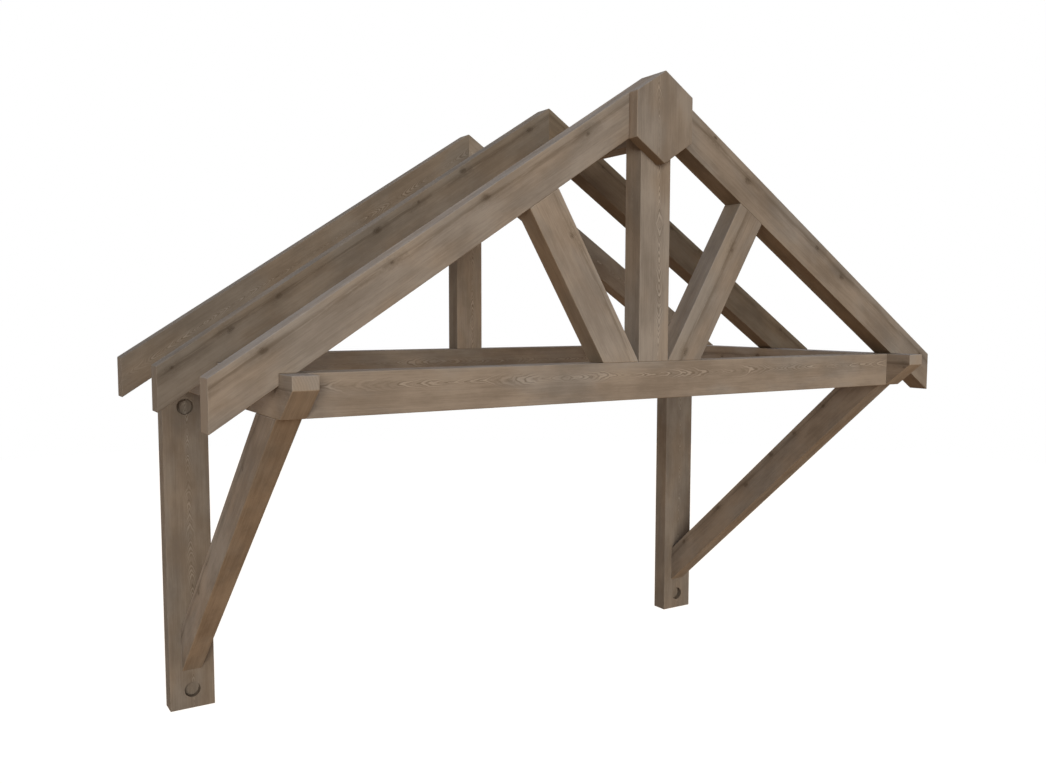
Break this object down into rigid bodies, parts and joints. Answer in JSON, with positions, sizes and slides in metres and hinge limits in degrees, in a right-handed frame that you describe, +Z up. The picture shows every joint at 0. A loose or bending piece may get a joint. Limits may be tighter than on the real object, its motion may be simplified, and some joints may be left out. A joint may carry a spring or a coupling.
{
  "type": "timber porch canopy frame",
  "caption": "Open timber gable frame for a porch canopy, carried on braced wall brackets, with a king post truss at the front and rafters ready for a roof covering.",
  "frame": {"origin": "on the wall plane, at the middle of the back face of the rear tie beam", "axes": "+X to the right seen from the front, +Y back into the wall, +Z up"},
  "size_m": [1.686, 0.849, 1.3438],
  "materials": {
    "timber": "planed softwood, weathered and matt"
  },
  "bodies": {
    "root": {"left_wall_post": "timber", "right_wall_post": "timber", "left_arm": "timber", "right_arm": "timber", "left_brace": "timber", "right_brace": "timber", "front_tie_beam": "timber", "rear_tie_beam": "timber", "front_king_post": "timber", "rear_king_post": "timber", "left_strut": "timber", "right_strut": "timber", "apex_block": "timber", "front_left_rafter": "timber", "front_right_rafter": "timber", "middle_left_rafter": "timber", "middle_right_rafter": "timber", "rear_left_rafter": "timber", "rear_right_rafter": "timber", "ridge_beam": "timber"}
  },
  "joints": []
}
